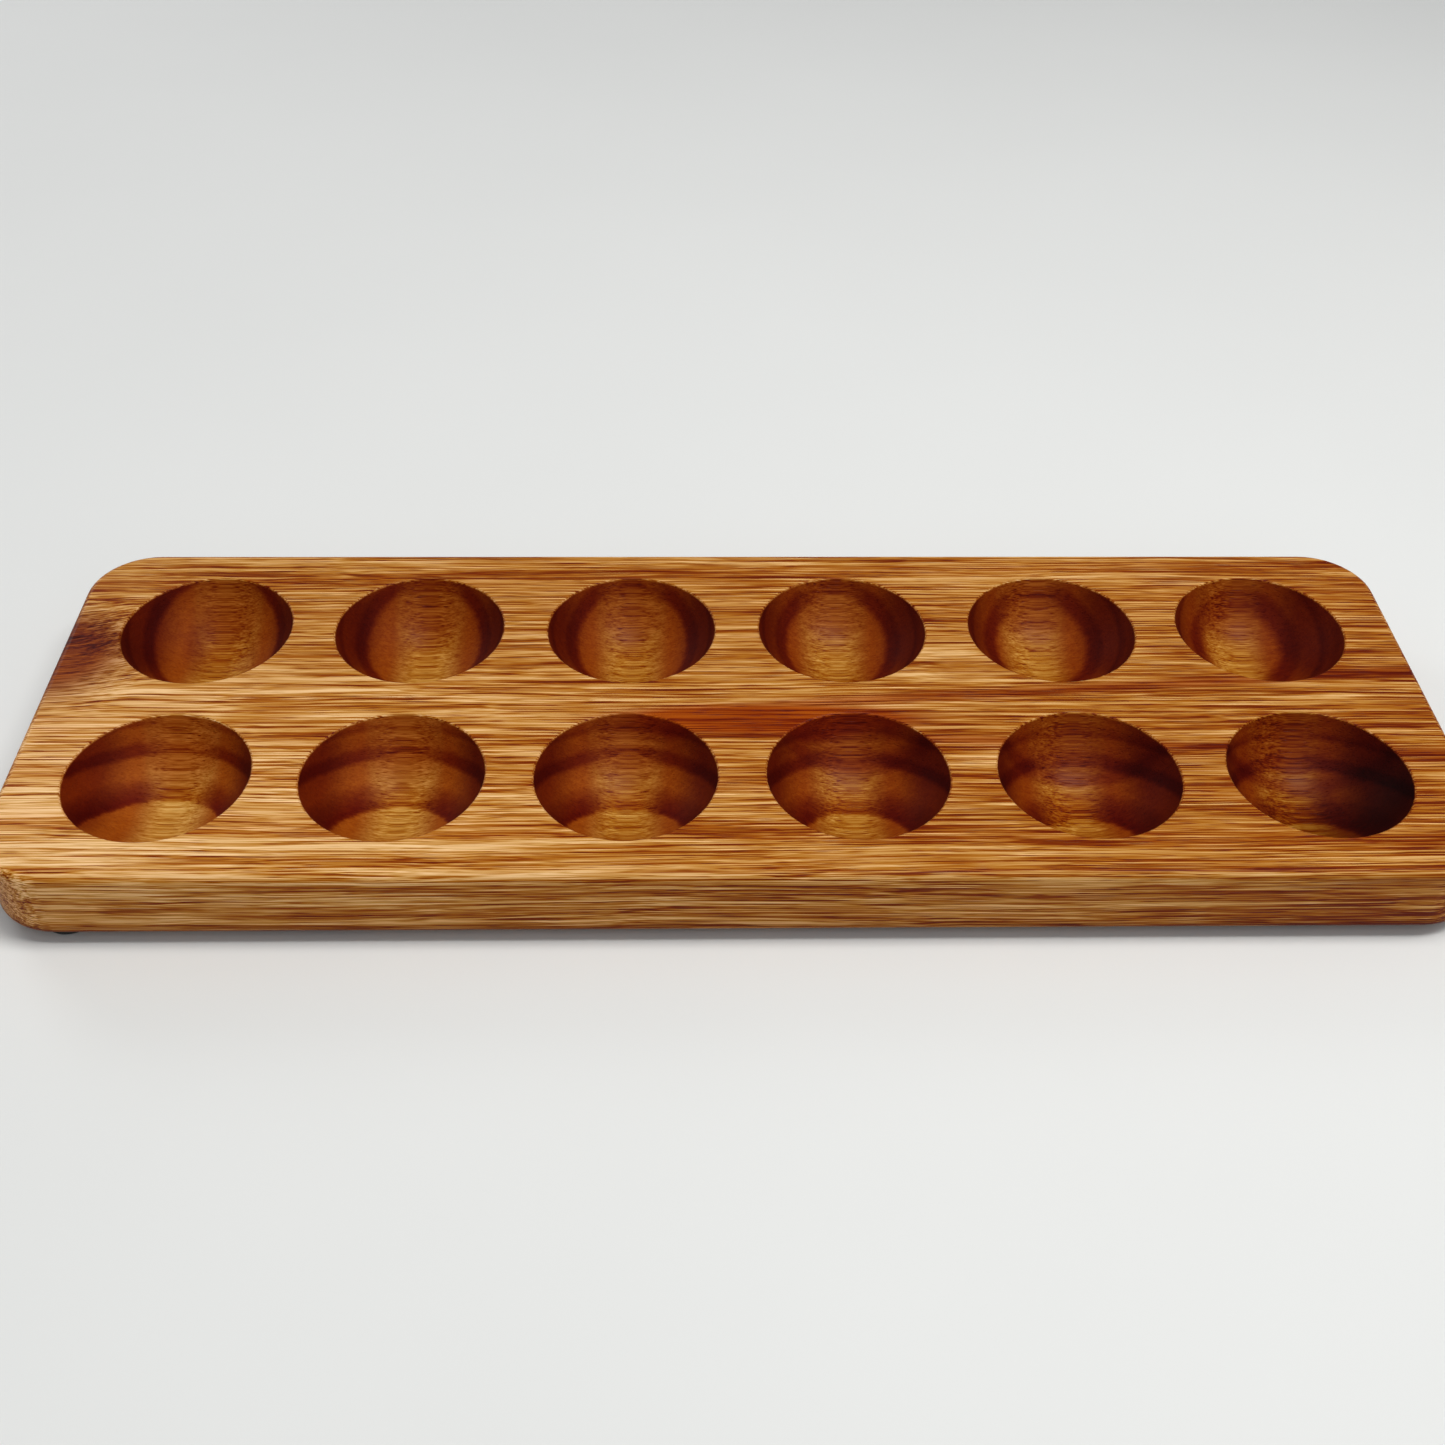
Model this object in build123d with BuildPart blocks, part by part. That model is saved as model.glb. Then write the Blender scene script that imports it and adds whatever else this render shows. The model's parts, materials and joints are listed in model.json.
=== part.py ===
from build123d import *
import os

# Egg tray: one solid wooden board with rows of round hollows, standing on four low rubber
# feet, each held to the underside by its own small steel screw.
#
# Frame: +Z is up, +X runs along the board and -Y is its front long side. The origin lies on
# the surface that the feet stand on, under the middle of the board. Sizes are millimetres.

# Hollows, each a cap of a sphere
columns = 6
rows = 2
hollow_diameter = 45
hollow_depth = 15
hollow_rim_round = 0.5
column_gap = 11.5
row_gap = 12

# Board
end_margin = 14
side_margin = 11.5
board_thickness = 19
board_corner_radius = 17
board_edge_round = 2

# Rubber feet
foot_diameter = 12.7
foot_height = 3
foot_edge_round = 0.8
foot_seat_thickness = 1
foot_end_inset = 18
foot_side_inset = 13
front_left_foot_drift = 4.2

# Screws: the head's flat underside seats in the foot, and the shank goes up into the board
head_diameter = 5.6
head_height = 1.3
head_edge_round = 0.7
drive_slot_length = 3
drive_slot_width = 0.6
drive_slot_depth = 0.8
screw_length = 10
thread_radius = 1.45
core_radius = 1.05
thread_pitch = 1.1
plain_shank_length = 1.6
tip_length = 2.4
tip_radius = 0.15

# Clearances, measured on the radius
head_clearance = 0.4
shank_clearance = 0.15
thread_clearance = 0.05

# Worked out from the sizes above
column_pitch = hollow_diameter + column_gap
row_pitch = hollow_diameter + row_gap
board_length = columns * hollow_diameter + (columns - 1) * column_gap + 2 * end_margin
board_width = rows * hollow_diameter + (rows - 1) * row_gap + 2 * side_margin
board_bottom = foot_height
board_top = board_bottom + board_thickness
hollow_radius = hollow_diameter / 2
hollow_sphere_radius = (hollow_radius**2 + hollow_depth**2) / (2 * hollow_depth)
hollow_sphere_centre = board_top - hollow_depth + hollow_sphere_radius
foot_seat = foot_height - foot_seat_thickness
foot_x = board_length / 2 - foot_end_inset
foot_y = board_width / 2 - foot_side_inset

foot_places = {
    "front_left": (-foot_x, -foot_y - front_left_foot_drift),
    "front_right": (foot_x, -foot_y),
    "back_left": (-foot_x, foot_y),
    "back_right": (foot_x, foot_y),
}


def upright_plane(place):
    """The plane through a foot's axis on which its outlines are drawn: x outwards, y up."""
    return Plane(origin=(*place, 0), x_dir=(1, 0, 0), z_dir=(0, -1, 0))


def foot_axis(place):
    """The vertical axis that a foot and its screw share."""
    return Axis((*place, 0), (0, 0, 1))


def thread_points(gap):
    """Half outline of the screw's shank from seat to tip, grown outwards by a gap.

    The thread is a row of V-shaped rings, and the same outline, grown, cuts the board.
    """
    shank_top = foot_seat + plain_shank_length
    thread_end = foot_seat + screw_length - tip_length
    rings = int((thread_end - shank_top) / thread_pitch)
    points = [(0, foot_seat), (thread_radius + gap, foot_seat)]
    points.append((thread_radius + gap, shank_top))
    for ring in range(rings):
        ring_start = shank_top + ring * thread_pitch
        points.append((core_radius + gap, ring_start + 0.3 * thread_pitch))
        points.append((core_radius + gap, ring_start + 0.5 * thread_pitch))
        points.append((thread_radius + gap, ring_start + thread_pitch))
    points.append((core_radius + gap, thread_end))
    points.append((tip_radius + gap, foot_seat + screw_length + gap))
    points.append((0, foot_seat + screw_length + gap))
    return points


# Board: a slab with rounded corners and edges, its hollows, and a tapped hole over each foot
with BuildPart() as tray_board:
    with BuildSketch(Plane.XY.offset(board_bottom)):
        RectangleRounded(board_length, board_width, board_corner_radius)
    extrude(amount=board_thickness)
    end_faces = tray_board.faces().filter_by(Plane.XY)
    fillet(end_faces.edges(), board_edge_round)
    with Locations((0, 0, hollow_sphere_centre)):
        with GridLocations(column_pitch, row_pitch, columns, rows):
            Sphere(hollow_sphere_radius, mode=Mode.SUBTRACT)
    top_face = tray_board.faces().filter_by(Plane.XY).sort_by(Axis.Z)[-1]
    rims = ShapeList(rim for wire in top_face.inner_wires() for rim in wire.edges())
    fillet(rims, hollow_rim_round)
    for place in foot_places.values():
        with BuildSketch(upright_plane(place)):
            with BuildLine():
                Polyline(thread_points(thread_clearance), close=True)
            make_face()
        revolve(axis=foot_axis(place), mode=Mode.SUBTRACT)
tray_board.part.label = "tray_board"


def build_foot(place):
    """A low round rubber foot, with a counterbored hole for its screw."""
    with BuildPart() as foot:
        with BuildSketch(Plane(origin=(*place, 0))):
            Circle(foot_diameter / 2)
        extrude(amount=foot_height)
        fillet(foot.edges().sort_by(Axis.Z)[0], foot_edge_round)
        with Locations(Plane(origin=(*place, 0), z_dir=(0, 0, -1))):
            CounterBoreHole(
                radius=thread_radius + shank_clearance,
                counter_bore_radius=head_diameter / 2 + head_clearance,
                counter_bore_depth=foot_seat,
                depth=foot_height,
            )
    return foot.part


def build_screw(place):
    """A pan-head screw, head down, with a ringed shank and a cross slot in its head."""
    head_bottom = foot_seat - head_height
    with BuildPart() as screw:
        with BuildSketch(upright_plane(place)):
            with BuildLine():
                Polyline(thread_points(0), close=True)
            make_face()
        revolve(axis=foot_axis(place))
        with BuildSketch(Plane(origin=(*place, head_bottom))):
            Circle(head_diameter / 2)
        extrude(amount=head_height)
        fillet(screw.edges().sort_by(Axis.Z)[0], head_edge_round)
        with BuildSketch(Plane(origin=(*place, head_bottom))):
            Rectangle(drive_slot_length, drive_slot_width)
            Rectangle(drive_slot_width, drive_slot_length)
        extrude(amount=drive_slot_depth, mode=Mode.SUBTRACT)
    return screw.part


os.makedirs("parts", exist_ok=True)
export_step(tray_board.part, "parts/tray_board.step")
for corner, place in foot_places.items():
    foot_part = build_foot(place)
    foot_part.label = f"foot_{corner}"
    export_step(foot_part, f"parts/{foot_part.label}.step")
    screw_part = build_screw(place)
    screw_part.label = f"foot_screw_{corner}"
    export_step(screw_part, f"parts/{screw_part.label}.step")
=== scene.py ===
import json
import math

import bpy
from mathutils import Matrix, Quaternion, Vector


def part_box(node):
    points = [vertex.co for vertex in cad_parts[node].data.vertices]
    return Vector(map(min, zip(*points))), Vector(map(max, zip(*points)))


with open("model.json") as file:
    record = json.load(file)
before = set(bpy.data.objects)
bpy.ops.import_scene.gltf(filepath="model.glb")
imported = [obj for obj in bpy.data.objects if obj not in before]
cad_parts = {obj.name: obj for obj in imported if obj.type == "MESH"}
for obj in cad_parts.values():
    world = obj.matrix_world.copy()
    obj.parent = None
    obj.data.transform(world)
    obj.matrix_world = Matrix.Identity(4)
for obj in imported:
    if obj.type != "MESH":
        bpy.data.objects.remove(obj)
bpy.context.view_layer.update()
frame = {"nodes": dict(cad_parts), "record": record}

# The egg tray's looks: wood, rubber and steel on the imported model, which keeps its own shapes.
# Lengths are metres in the row frame, except inside the wood, where they are millimetres from
# the middle of the board's top face.

board_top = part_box("tray_board")[1].z

# ---------------------------------------------------------------- node graphs


class Graph:
    """A material's nodes. Most methods add a node or two and return an output socket."""

    def __init__(self, name):
        self.material = bpy.data.materials.new(name)
        self.material.use_nodes = True
        self.tree = self.material.node_tree
        self.shader = self.tree.nodes["Principled BSDF"]

    def node(self, kind, *inputs, **settings):
        """A node with its first inputs linked or set, in order."""
        made = self.tree.nodes.new(kind)
        for key, value in settings.items():
            setattr(made, key, value)
        for socket, value in zip(made.inputs, inputs):
            self.plug(socket, value)
        return made

    def plug(self, socket, value):
        """Links an output to an input, or sets the input to a constant."""
        if isinstance(value, bpy.types.NodeSocket):
            self.tree.links.new(value, socket)
        else:
            socket.default_value = value

    def place(self):
        """Where a point of the surface is on its own piece, in metres."""
        return self.node("ShaderNodeTexCoord").outputs["Object"]

    def math(self, operation, *inputs):
        return self.node("ShaderNodeMath", *inputs, operation=operation).outputs[0]

    def times(self, first, second):
        return self.math("MULTIPLY", first, second)

    def line(self, value, slope, start):
        """The value times a slope, plus a start."""
        return self.math("MULTIPLY_ADD", value, slope, start)

    def size_of(self, value):
        """The value without its sign."""
        return self.math("ABSOLUTE", value)

    def opposite(self, share):
        """1 where the share is 0, and 0 where it is 1."""
        return self.math("SUBTRACT", 1.0, share)

    def vector(self, operation, *inputs):
        made = self.node("ShaderNodeVectorMath", *inputs, operation=operation)
        scalar = operation in ("DOT_PRODUCT", "LENGTH")
        return made.outputs["Value" if scalar else "Vector"]

    def stretched(self, vector, factors):
        """The vector with each of its parts times its own factor."""
        return self.vector("MULTIPLY", vector, factors)

    def step(self, value, low, high):
        """0 at low and 1 at high, smooth between and level past both. Low may be the larger."""
        made = self.node("ShaderNodeMapRange", value, low, high, 0.0, 1.0)
        made.interpolation_type = "SMOOTHSTEP"
        return made.outputs[0]

    def near(self, vector, middle, reach):
        """1 at a point, falling smoothly to 0 on the ellipsoid that reaches this far along each axis."""
        away = self.vector("DIVIDE", self.vector("SUBTRACT", vector, middle), reach)
        return self.opposite(self.step(self.vector("LENGTH", away), 0.0, 1.0))

    def mix(self, share, first, second, blend="MIX"):
        """Colour mix: first where share is 0, second where it is 1."""
        made = self.node("ShaderNodeMix", data_type="RGBA", blend_type=blend)
        self.plug(made.inputs[0], share)
        self.plug(made.inputs[6], first)
        self.plug(made.inputs[7], second)
        return made.outputs[2]

    def tint(self, share, colour, tint):
        """The colour times a tint, as far as the share says."""
        return self.mix(share, colour, (*tint, 1), "MULTIPLY")

    def ramp(self, value, stops):
        """Colours by value, each stop a position from 0 to 1 and a colour."""
        made = self.node("ShaderNodeValToRGB", value)
        elements = made.color_ramp.elements
        elements.remove(elements[1])
        elements[0].position = stops[0][0]
        elements[0].color = (*stops[0][1], 1)
        for position, colour in stops[1:]:
            elements.new(position).color = (*colour, 1)
        return made.outputs["Color"]

    def curve(self, value, low, high, stops):
        """Heights by value, each stop a value between low and high and a height from 0 to 1."""
        share = self.node("ShaderNodeMapRange", value, low, high, 0.0, 1.0).outputs[0]
        greys = [((at - low) / (high - low), (height, height, height)) for at, height in stops]
        return self.ramp(share, greys)

    def noise(self, vector, scale, detail, roughness, output="Fac"):
        made = self.node("ShaderNodeTexNoise", vector)
        made.inputs["Scale"].default_value = scale
        made.inputs["Detail"].default_value = detail
        made.inputs["Roughness"].default_value = roughness
        return made.outputs[output]

    def grain(self, vector, factors, detail, roughness):
        """Noise from 0 to 1 whose features are about 1 / factor millimetres long on each axis."""
        return self.noise(self.stretched(vector, factors), 1.0, detail, roughness)

    def drift(self, vector, factors, detail, reach):
        """A wandering offset of up to half of reach either way along each axis."""
        wander = self.noise(self.stretched(vector, factors), 1.0, detail, 0.5, "Color")
        return self.stretched(self.vector("SUBTRACT", wander, (0.5, 0.5, 0.5)), reach)

    def cells(self, vector, factors):
        """Distance to the nearest of many scattered points, one in each cell of a lattice."""
        made = self.node("ShaderNodeTexVoronoi", self.stretched(vector, factors))
        made.inputs["Scale"].default_value = 1.0
        made.inputs["Randomness"].default_value = 1.0
        return made.outputs["Distance"]

    def bump(self, height, distance, strength):
        made = self.node("ShaderNodeBump")
        made.inputs["Strength"].default_value = strength
        made.inputs["Distance"].default_value = distance
        self.plug(made.inputs["Height"], height)
        return made.outputs[0]

    def finish(self, **inputs):
        """Sets or links the shader's inputs, named as in the interface with _ for a space."""
        for key, value in inputs.items():
            self.plug(self.shader.inputs[key.replace("_", " ")], value)
        return self.material


# ---------------------------------------------------------------- wood

mm_per_metre = 1000.0

# The middle line of the growth rings, parallel to the fibres, and how far they taper along x
ring_line = (0.0, 10.0, 72.0)
ring_taper = -0.014
ring_raggedness = 0.9

# Each stop is a ring's radius and how dark it is: 0 is pale early wood, 1 dark late wood
ring_span = (71.0, 118.0)
ring_stops = (
    (72.0, 0.10), (74.0, 0.30), (76.0, 0.20), (78.2, 0.60), (79.4, 0.22), (82.2, 0.35),
    (83.4, 0.80), (85.0, 0.85), (86.1, 0.15), (88.0, 0.05), (89.6, 0.05), (92.0, 0.65),
    (94.1, 1.00), (94.6, 0.90), (95.1, 0.00), (97.0, 0.05), (99.0, 0.20), (102.0, 0.10),
    (104.3, 0.35), (107.0, 0.55), (109.0, 0.30), (111.5, 0.60), (114.0, 0.45), (116.5, 0.90),
)

# The turned walls of the hollows lie inside these. Each pair is where their share of the look
# is still 0 and where it has reached 1.
wall_below_top = (-0.1, -0.7)
wall_above_bottom = (-17.5, -16.0)
wall_inside_sides = (56.0, 53.0)
wall_inside_ends = (170.0, 166.0)

# How far the end-grain darkening is leant towards one side at the middle of the board, and how that
# changes per mm along x. The lean is painted shade: it darkens the right-hand walls of the right-hand
# hollows and the left-hand walls of the left-hand hollows.
end_grain_shade_lean = 0.04
end_grain_shade_lean_change = 0.0007

# Tilts of the surface against the fibres, each pair from where a look starts to where it is full. The
# two steep pairs and the side share set painted shade on the steep walls of the hollows; the side pair
# goes by how far the surface faces along y.
end_grain_tilt = (0.10, 0.46)
end_wall_shade_tilt = (0.46, 0.80)
side_wall_shade_tilt = (0.20, 0.62)
side_wall_shade_share = 0.85
planed_end_share = 0.2

# The fibres' wandering: how fast along each axis, in how much detail, and how far in mm
slow_sway = {"factors": (0.011, 0.022, 0.022), "detail": 2.0, "reach": (0.0, 3.2, 2.2)}
quick_sway = {"factors": (0.035, 0.12, 0.12), "detail": 1.0, "reach": (0.0, 0.6, 0.6)}
knot_push = (0.0, 9.0, 4.0)

# Streaks: how fast each kind changes along each axis, in how much detail, and how rough it is
ragged_grain = {"factors": (0.06, 0.7, 0.7), "detail": 2.0, "roughness": 0.6}
broad_grain = {"factors": (0.006, 0.16, 0.16), "detail": 2.0, "roughness": 0.5}
line_grain = {"factors": (0.009, 0.85, 0.85), "detail": 3.0, "roughness": 0.65}
fibre_grain = {"factors": (0.035, 3.2, 3.2), "detail": 2.0, "roughness": 0.6}
hair_grain = {"factors": (0.03, 2.0, 2.0), "detail": 1.0, "roughness": 0.5}
hair_edge = (0.56, 0.64)
pore_factors = (0.11, 1.9, 1.9)
pore_edge = (0.08, 0.34)

# Places in the board, each a middle and how far it reaches along each axis
knot_place = ((-180.0, 18.0, -4.0), (34.0, 30.0, 26.0))
flame_place = ((6.0, -8.5, 0.0), (70.0, 10.0, 12.0))
pale_place = ((-190.0, -35.0, 0.0), (330.0, 75.0, 24.0))
# Where shade is painted on the walls of the front right-hand hollow
front_right_shade_place = ((172.0, -36.0, -8.0), (60.0, 34.0, 24.0))

knot_edge = (0.0, 0.7)
flame_edge = (0.1, 0.6)

# The flame's two tongues: how far in front of the middle each is at x = 0, its slant, and the
# half widths where it is full and where it ends. They grow in between two places along x.
back_tongue = {"offset": 4.0, "slant": -0.08, "half_widths": (0.4, 3.8)}
front_tongue = {"offset": 13.5, "slant": 0.05, "half_widths": (0.4, 3.2)}
tongue_start = (-40.0, 10.0)
tongue_share = 0.75

# How much each kind of streak adds to the tone, and the tone without any
broad_weight = 0.7
line_weight = 1.95
fibre_weight = 2.1
streak_mean = 2.38
hair_weight = -0.32
pore_weight = -0.30
ring_weight = 0.24
plain_tone = 0.55

# How much turning smooths the streaks away, and how much more it does on end grain
turned_smoothing = 0.42
end_grain_smoothing = 0.38

# How much of the rings shows on planed faces, how much more on turned ones, and how much of that
# tints the colour too
planed_ring_share = 0.65
turned_ring_share = 0.35
ring_tint_share = 0.4

# How the tone changes per mm along x: at the front, how much less at the back, and between where
front_slant = -0.0009
back_slant_change = 0.0008
slant_change_side = (0.0, 45.0)

# Painted shade on the outside towards its lower edge, from where it starts to where it is full, in mm
# from the top
bottom_edge_shade = (-14.5, -18.5)

# Finish: roughness along the grain and how much more on end grain, the relief of fibres and
# pores in metres, and a low reflectance
plain_roughness = 0.36
end_grain_roughness = 0.25
fibre_relief = 0.5
relief_depth = 0.00008
relief_strength = 0.8
reflectance = 0.06

# The wood's colour from its darkest tone to its palest
tone_colours = (
    (0.00, (0.130, 0.012, 0.0004)),
    (0.18, (0.250, 0.042, 0.0012)),
    (0.36, (0.370, 0.118, 0.006)),
    (0.48, (0.440, 0.175, 0.022)),
    (0.58, (0.510, 0.235, 0.047)),
    (0.72, (0.610, 0.318, 0.092)),
    (0.90, (0.730, 0.425, 0.165)),
    (1.00, (0.800, 0.500, 0.225)),
)

# What each feature multiplies the colour by
ring_tint = (0.85, 0.52, 0.28)
pale_tint = (1.20, 1.30, 1.55)
flame_tint = (0.58, 0.21, 0.02)
knot_tint = (0.36, 0.13, 0.02)
oiled_tint = (0.90, 0.82, 0.50)
# Soaked and shade darkens the end grain, which is its own colour, and paints shade on the steep front
# and back walls of the hollows
soaked_and_shade_tint = (0.58, 0.26, 0.07)
cut_ring_tint = (0.48, 0.14, 0.08)
# Painted shade on the steepest end walls of the hollows
end_wall_shade_tint = (0.45, 0.20, 0.15)
# Painted shade on the front right-hand hollow
front_right_shade_tint = (0.10, 0.03, 0.02)
# Painted shade on the lower edge
bottom_edge_shade_tint = (0.60, 0.48, 0.35)


def hollow_walls(g, x, y, z):
    """1 on the turned walls of the hollows, 0 on the planed outside."""
    below_top = g.step(z, *wall_below_top)
    above_bottom = g.step(z, *wall_above_bottom)
    inside_sides = g.step(g.size_of(y), *wall_inside_sides)
    inside_ends = g.step(g.size_of(x), *wall_inside_ends)
    return g.times(g.times(below_top, above_bottom), g.times(inside_sides, inside_ends))


def end_grain_and_shade_tilt(g, x, normal):
    """How far the fibres run out of the surface, from 0 along it to 1 straight out.

    The facing is taken against a lean that grows along x, which paints shade: the walls that come out
    darkest change from end to end, the left-hand walls at the left and the right-hand walls at the
    right.
    """
    # The lean paints shade on one wall of each hollow
    lean = g.line(x, end_grain_shade_lean_change, end_grain_shade_lean)
    facing = g.vector("DOT_PRODUCT", normal, (1.0, 0.0, 0.0))
    return g.size_of(g.math("SUBTRACT", facing, lean))


def swayed(g, whole, knot):
    """The wood's own coordinates: the fibres sway, most of all around the knot."""
    slow = g.drift(whole, **slow_sway)
    quick = g.drift(whole, **quick_sway)
    around_knot = g.stretched(knot, knot_push)
    return g.vector("ADD", g.vector("ADD", whole, g.vector("ADD", slow, quick)), around_knot)


def growth_rings(g, p, x):
    """Early and late wood, by distance from the rings' middle line."""
    off_line = g.stretched(g.vector("SUBTRACT", p, ring_line), (0.0, 1.0, 1.0))
    radius = g.line(x, ring_taper, g.vector("LENGTH", off_line))
    ragged = g.grain(p, **ragged_grain)
    radius = g.math("ADD", radius, g.times(ragged, ring_raggedness))
    return g.curve(radius, *ring_span, ring_stops)


def tongue(g, x, side, offset, slant, half_widths):
    """1 within the first half width of a slanting line across the top, 0 beyond the second."""
    away = g.size_of(g.line(x, slant, g.math("ADD", side, offset)))
    return g.opposite(g.step(away, *half_widths))


def red_flame(g, whole, x, side):
    """A red flame between the rows, which parts towards the right into two thin tongues."""
    core = g.step(g.near(whole, *flame_place), *flame_edge)
    both = g.math("MAXIMUM", tongue(g, x, side, **back_tongue), tongue(g, x, side, **front_tongue))
    tongues = g.times(both, g.step(x, *tongue_start))
    return g.math("MAXIMUM", core, g.times(tongues, tongue_share))


def wood():
    """Oiled hardwood as a solid block.

    Fibres run along x. The growth rings are tubes about a line above the board, so the flat
    top shows long streaks and each hollow shows the rings as arcs.
    """
    g = Graph("oiled_wood")
    place = g.node("ShaderNodeTexCoord")
    normal = place.outputs["Normal"]
    scaled = g.stretched(place.outputs["Object"], (mm_per_metre, mm_per_metre, mm_per_metre))
    whole = g.vector("SUBTRACT", scaled, (0.0, 0.0, board_top * mm_per_metre))
    x, y, z = g.node("ShaderNodeSeparateXYZ", whole).outputs

    turned = hollow_walls(g, x, y, z)
    tilt = end_grain_and_shade_tilt(g, x, normal)
    # Planed end faces show only part of the end grain that turned walls do
    showing = g.line(turned, 1.0 - planed_end_share, planed_end_share)
    end_grain = g.times(g.step(tilt, *end_grain_tilt), showing)
    knot = g.near(whole, *knot_place)
    p = swayed(g, whole, knot)
    side = g.node("ShaderNodeSeparateXYZ", p).outputs["Y"]
    late = growth_rings(g, p, x)
    flame = red_flame(g, whole, x, side)

    # Streaks of three widths, dark hair lines, and the open pores
    broad = g.grain(p, **broad_grain)
    lines = g.grain(p, **line_grain)
    fibres = g.grain(p, **fibre_grain)
    hairs = g.step(g.grain(p, **hair_grain), *hair_edge)
    pore = g.opposite(g.step(g.cells(p, pore_factors), *pore_edge))
    tone = g.line(broad, broad_weight, g.times(lines, line_weight))
    tone = g.math("ADD", tone, g.line(fibres, fibre_weight, -streak_mean))
    tone = g.line(hairs, hair_weight, tone)
    tone = g.line(pore, pore_weight, tone)

    # Turning smooths the streaks away, and on end grain they shrink to faint dots
    smoothed = g.times(turned, g.line(end_grain, end_grain_smoothing, turned_smoothing))
    tone = g.line(tone, g.opposite(smoothed), plain_tone)

    # Planing leaves the rings fainter than turning does
    shown = g.times(late, g.line(turned, turned_ring_share, planed_ring_share))
    tone = g.math("SUBTRACT", tone, g.times(shown, ring_weight))

    # The left is paler than the right, but hardly so along the back
    slant = g.line(g.step(side, *slant_change_side), back_slant_change, front_slant)
    tone = g.line(x, slant, tone)

    colour = g.ramp(tone, tone_colours)
    colour = g.tint(g.times(shown, ring_tint_share), colour, ring_tint)
    colour = g.tint(g.near(whole, *pale_place), colour, pale_tint)
    colour = g.tint(flame, colour, flame_tint)
    colour = g.tint(g.step(knot, *knot_edge), colour, knot_tint)

    # The hollows are turned, not planed, so they drink more oil, and their end grain the most. Shade is
    # painted on their steep walls and on the front right-hand hollow.
    # Painted shade on the hollows' steep front and back walls and on their steepest end walls
    facing_side = g.size_of(g.vector("DOT_PRODUCT", normal, (0.0, 1.0, 0.0)))
    slope = g.times(g.times(g.step(facing_side, *side_wall_shade_tilt), side_wall_shade_share), turned)
    end_wall_shade = g.times(g.step(tilt, *end_wall_shade_tilt), turned)
    # Painted shade on the walls of the front right-hand hollow
    front_right_shade = g.times(g.near(whole, *front_right_shade_place), turned)
    colour = g.tint(turned, colour, oiled_tint)
    colour = g.tint(g.math("MAXIMUM", end_grain, slope), colour, soaked_and_shade_tint)
    colour = g.tint(g.times(late, end_grain), colour, cut_ring_tint)
    colour = g.tint(end_wall_shade, colour, end_wall_shade_tint)
    colour = g.tint(front_right_shade, colour, front_right_shade_tint)

    # Painted shade darkens the outside towards its lower edge
    colour = g.tint(g.step(z, *bottom_edge_shade), colour, bottom_edge_shade_tint)

    rough = g.line(end_grain, end_grain_roughness, plain_roughness)
    height = g.math("SUBTRACT", g.times(fibres, fibre_relief), pore)
    relief = g.bump(height, relief_depth, relief_strength)
    g.finish(Specular_IOR_Level=reflectance)
    return g.finish(Base_Color=colour, Roughness=rough, Normal=relief)


# ---------------------------------------------------------------- other materials


def rubber():
    """Matt black moulded rubber."""
    g = Graph("black_rubber")
    grain = g.noise(g.place(), scale=4000.0, detail=2.0, roughness=0.6)
    colour = g.mix(grain, (0.012, 0.012, 0.013, 1), (0.022, 0.022, 0.023, 1))
    relief = g.bump(grain, distance=0.00005, strength=0.4)
    return g.finish(Base_Color=colour, Roughness=0.7, Normal=relief)


def steel():
    """Bright zinc-plated steel, faintly mottled."""
    g = Graph("screw_steel")
    grain = g.noise(g.place(), scale=3000.0, detail=3.0, roughness=0.6)
    colour = g.mix(grain, (0.52, 0.52, 0.51, 1), (0.66, 0.66, 0.64, 1))
    rough = g.line(grain, slope=0.2, start=0.22)
    return g.finish(Base_Color=colour, Metallic=1.0, Roughness=rough)


def backdrop():
    """Matt pale painted board."""
    g = Graph("pale_backdrop")
    patches = g.noise(g.place(), scale=6.0, detail=3.0, roughness=0.5)
    colour = g.mix(patches, (0.76, 0.77, 0.76, 1), (0.80, 0.81, 0.80, 1))
    return g.finish(Base_Color=colour, Roughness=0.75)


def dress(node, material):
    """Gives a CAD node its material, in place of any it had."""
    slots = frame["nodes"][node].data.materials
    slots.clear()
    slots.append(material)


finishes = {"oiled_wood": wood(), "black_rubber": rubber(), "screw_steel": steel()}
for subpart in frame["record"]["subparts"]:
    dress(subpart["node"], finishes[subpart["material_slot"]])

# ---------------------------------------------------------------- stage

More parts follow.
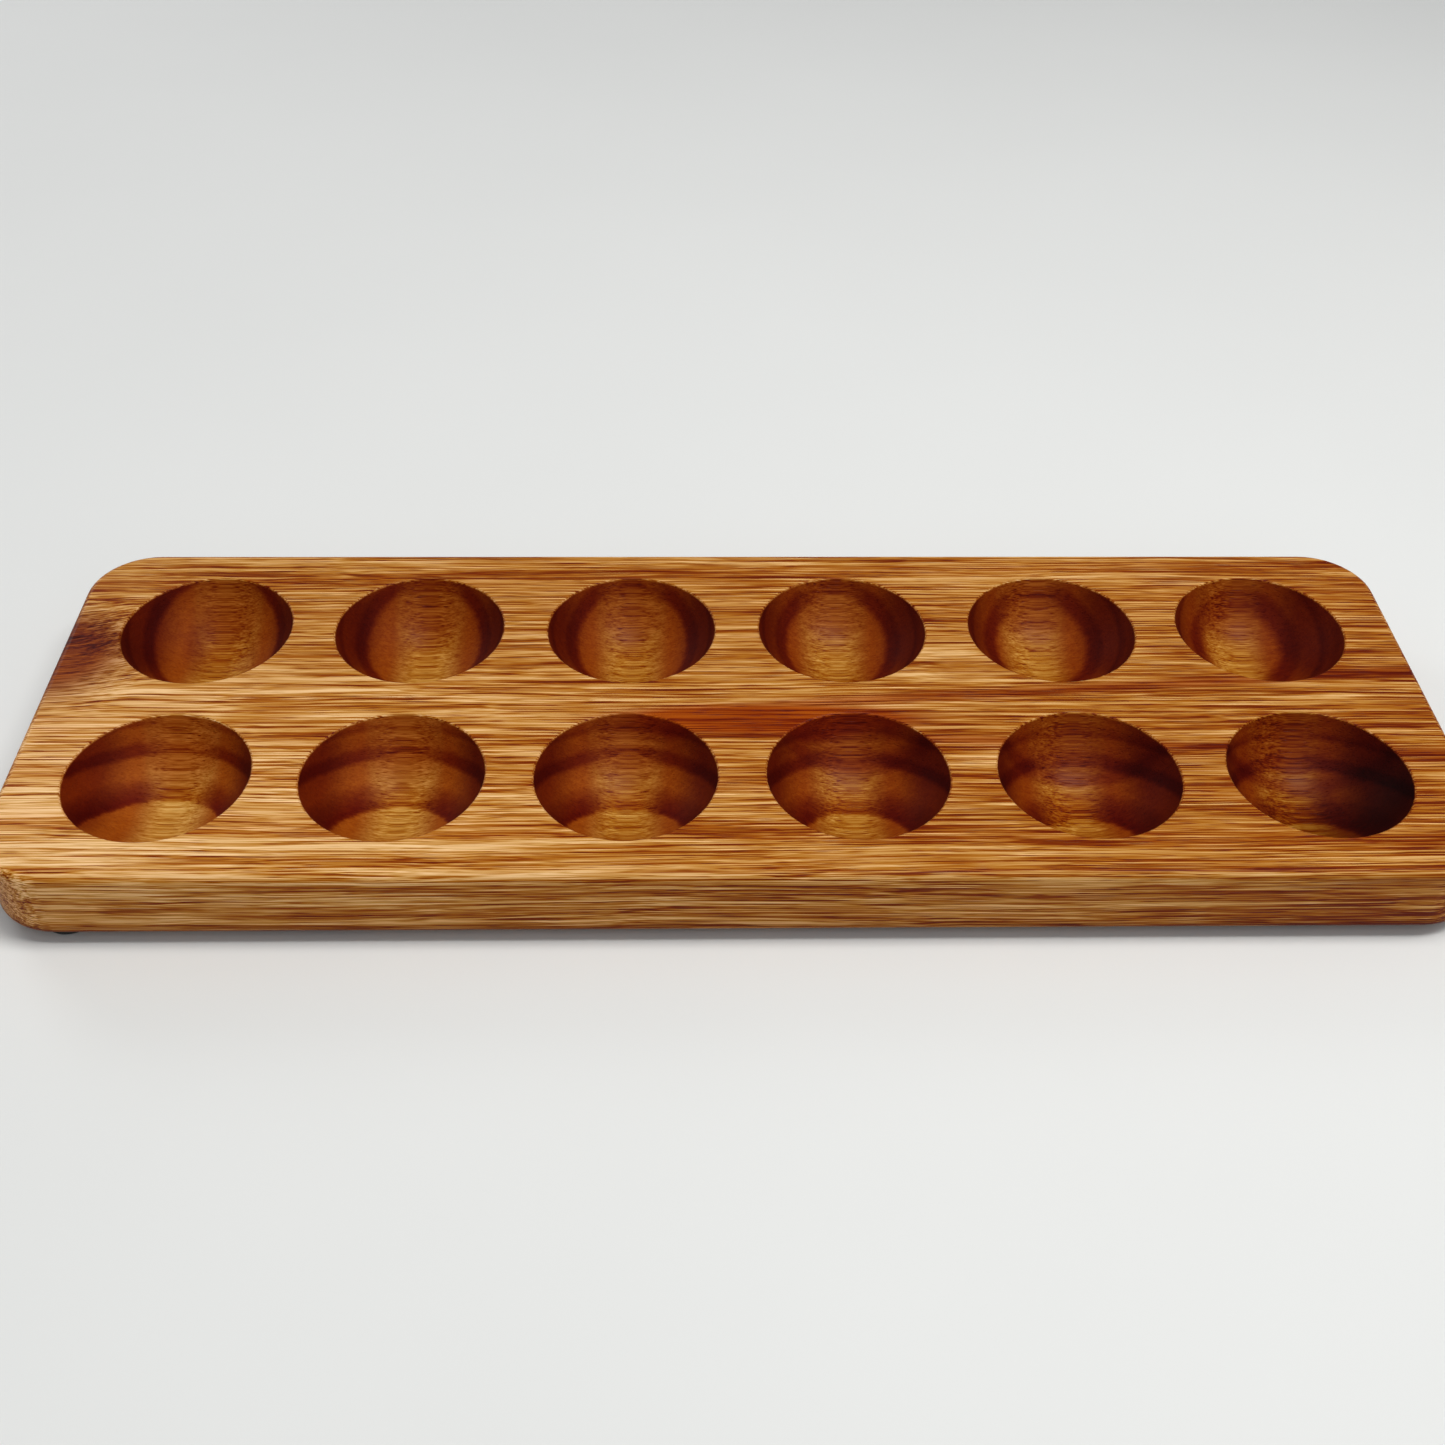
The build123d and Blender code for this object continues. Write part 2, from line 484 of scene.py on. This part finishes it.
floor_reach = 6.0
floor_corners = [
    (-floor_reach, -floor_reach, 0),
    (floor_reach, -floor_reach, 0),
    (floor_reach, floor_reach, 0),
    (-floor_reach, floor_reach, 0),
]
floor_mesh = bpy.data.meshes.new("floor")
floor_mesh.from_pydata(floor_corners, [], [(0, 1, 2, 3)])
floor = bpy.data.objects.new("floor", floor_mesh)
bpy.context.scene.collection.objects.link(floor)
floor_mesh.materials.append(backdrop())


def aim(thing, target, roll=0.0):
    """Turns a camera or light to face a point, then rolls it by some degrees about its own axis."""
    facing = (Vector(target) - thing.location).to_track_quat("-Z", "Y")
    thing.rotation_mode = "QUATERNION"
    thing.rotation_quaternion = facing @ Quaternion((0, 0, 1), math.radians(roll))


def softbox(name, place, size, power, tint):
    """A rectangular area light that faces the tray, its size in metres and its power in watts."""
    lamp = bpy.data.lights.new(name, "AREA")
    lamp.shape = "RECTANGLE"
    lamp.size, lamp.size_y = size
    lamp.energy = power
    lamp.color = tint
    thing = bpy.data.objects.new(name, lamp)
    bpy.context.scene.collection.objects.link(thing)
    thing.location = place
    thing.visible_camera = False
    aim(thing, (0, 0, 0))


warm_white = (1.0, 0.99, 0.97)
white = (1.0, 1.0, 1.0)
softbox("key", place=(0.32, -0.05, 1.2), size=(0.3, 0.9), power=11.4, tint=warm_white)
softbox("fill", place=(0.3, -0.9, 0.9), size=(1.0, 1.0), power=2.5, tint=white)
softbox("window", place=(-0.9, 0.9, 0.6), size=(0.5, 0.4), power=2.9, tint=white)

room_tint = (0.95, 0.97, 1.0, 1)
room_strength = 0.25
world = bpy.data.worlds.new("room")
world.use_nodes = True
background = world.node_tree.nodes["Background"]
background.inputs["Color"].default_value = room_tint
background.inputs["Strength"].default_value = room_strength
bpy.context.scene.world = world
bpy.context.scene.view_settings.view_transform = "Standard"

# ---------------------------------------------------------------- camera

camera_place = (-0.0134, -0.3224, 0.2982)
camera_target = (-0.0038, 0.0152, 0.0)
camera_roll = 0.94

lens_data = bpy.data.cameras.new("camera")
lens_data.sensor_width = 36.0
lens_data.lens = 41.4
camera = bpy.data.objects.new("camera", lens_data)
bpy.context.scene.collection.objects.link(camera)
camera.location = camera_place
aim(camera, camera_target, camera_roll)
bpy.context.scene.camera = camera
